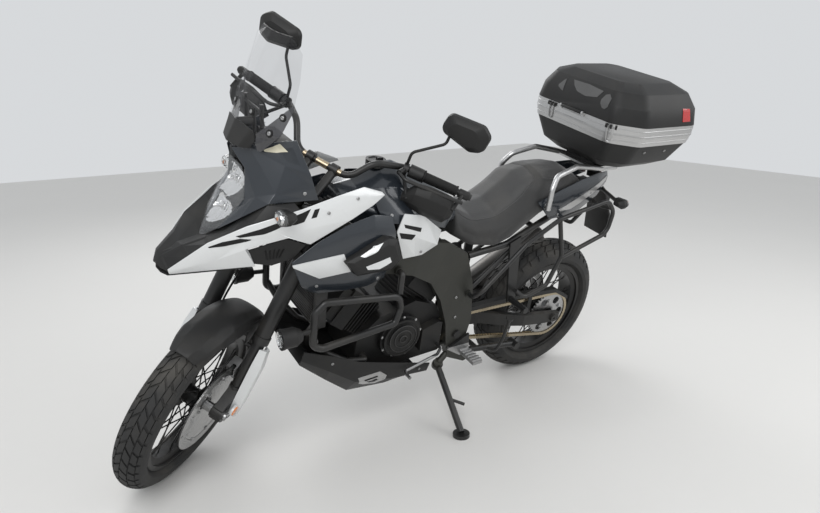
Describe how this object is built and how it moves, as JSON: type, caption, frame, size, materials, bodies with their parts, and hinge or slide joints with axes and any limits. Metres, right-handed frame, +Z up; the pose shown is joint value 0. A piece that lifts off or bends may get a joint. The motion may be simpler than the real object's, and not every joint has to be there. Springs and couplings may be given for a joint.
{
  "type": "adventure motorcycle",
  "caption": "Touring motorcycle for rough roads on its side stand, with spoked wheels, crash bars, side racks and a hinged top case.",
  "frame": {"origin": "on the ground, below the middle of the parked machine", "axes": "+X forward along the upright machine, +Y to the rider's left, +Z up from the ground"},
  "size_m": [2.2148, 0.7537, 1.5239],
  "materials": {
    "frame_grey": "satin",
    "black_metal": "satin",
    "aluminium": "brushed",
    "engine_black": "satin, finned and cast",
    "steel": "satin",
    "black_plastic": "moulded, matte",
    "body_dark": "metallic lacquer",
    "body_white": "metallic lacquer",
    "seat_cover": "grained vinyl with seams",
    "clear_lens": "clear",
    "screen": "clear with smoked lower edge",
    "chrome": "polished",
    "case_black": "grained",
    "chain_steel": "oiled",
    "grip_rubber": "ribbed",
    "tyre": "treaded",
    "wheel_black": "gloss rim with steel spokes",
    "disc_steel": "drilled"
  },
  "bodies": {
    "chassis": {"main_frame": "frame_grey", "subframe": "black_metal", "swingarm": "aluminium", "cylinders": "engine_black", "crankcase": "engine_black", "exhaust": "steel", "radiator": "black_metal", "under_cowl": "black_plastic", "crash_bars": "black_metal", "aux_lamps": "black_plastic", "fuel_tank": "body_dark", "fuel_cap": "black_metal", "seat": "seat_cover", "tank_covers": "body_dark", "side_wings": "body_white", "side_shrouds": "body_white", "vent_panels": "body_white", "scoop_pods": "black_plastic", "beak": "black_plastic", "front_cowl": "body_dark", "headlight_lens": "clear_lens", "headlight_housing": "chrome", "windscreen": "screen", "instruments": "black_plastic", "tail_covers": "body_dark", "signal_lamps": "clear_lens", "plate_holder": "black_plastic", "rear_carrier": "aluminium", "case_base": "case_black", "case_band": "aluminium", "pannier_racks": "black_metal", "foot_pegs": "steel", "shock": "black_metal", "chain_guard": "black_plastic", "rear_caliper": "aluminium", "drive_chain": "chain_steel"},
    "fork": {"fork_yokes": "black_metal", "fork_tubes": "black_metal", "fork_sliders": "black_metal", "front_axle": "steel", "front_fender": "black_plastic", "fork_guards": "body_white", "front_calipers": "aluminium", "grips": "grip_rubber", "handlebar": "black_metal", "hand_guards": "black_plastic", "mirrors": "black_plastic"},
    "front_wheel": {"front_tyre": "tyre", "front_spoked_wheel": "wheel_black", "front_discs": "disc_steel"},
    "rear_wheel": {"rear_tyre": "tyre", "rear_spoked_wheel": "wheel_black", "rear_disc": "disc_steel", "rear_sprocket": "steel"},
    "top_case_lid": {"case_lid": "case_black"},
    "side_stand": {"side_stand": "black_metal"},
    "centre_stand": {"centre_stand": "black_metal"}
  },
  "joints": [
    {"name": "steering", "type": "hinge", "parent": "chassis", "child": "fork", "pos_m": [0.94548, -0.19532, -0.00937], "axis": [-0.424, 0.2191, 0.8788], "range_deg": [-80, 0]},
    {"name": "front_wheel_spin", "type": "hinge", "parent": "fork", "child": "front_wheel", "pos_m": [0.82968, -0.08959, 0.29972], "axis": [-0.5821, 0.6774, -0.4498], "continuous": true},
    {"name": "rear_wheel_spin", "type": "hinge", "parent": "chassis", "child": "rear_wheel", "pos_m": [-0.71617, -0.11477, 0.31369], "axis": [0, 0.9703, -0.2419], "continuous": true},
    {"name": "side_stand_fold", "type": "hinge", "parent": "chassis", "child": "side_stand", "pos_m": [-0.10727, -0.01316, 0.20037], "axis": [0.1861, 0.6179, 0.7639], "range_deg": [0, 80], "stiffness_Nm_per_rad": 10, "springref_deg": -28.65},
    {"name": "centre_stand_swing", "type": "hinge", "parent": "chassis", "child": "centre_stand", "pos_m": [-0.23911, -0.12987, 0.25312], "axis": [0, -0.9703, 0.2419], "range_deg": [0, 100], "stiffness_Nm_per_rad": 20, "springref_deg": -28.65},
    {"name": "top_case_lid_hinge", "type": "hinge", "parent": "chassis", "child": "top_case_lid", "pos_m": [-0.65918, 0.10363, 1.18964], "axis": [0, 0.9703, -0.2419], "range_deg": [0, 75]}
  ]
}
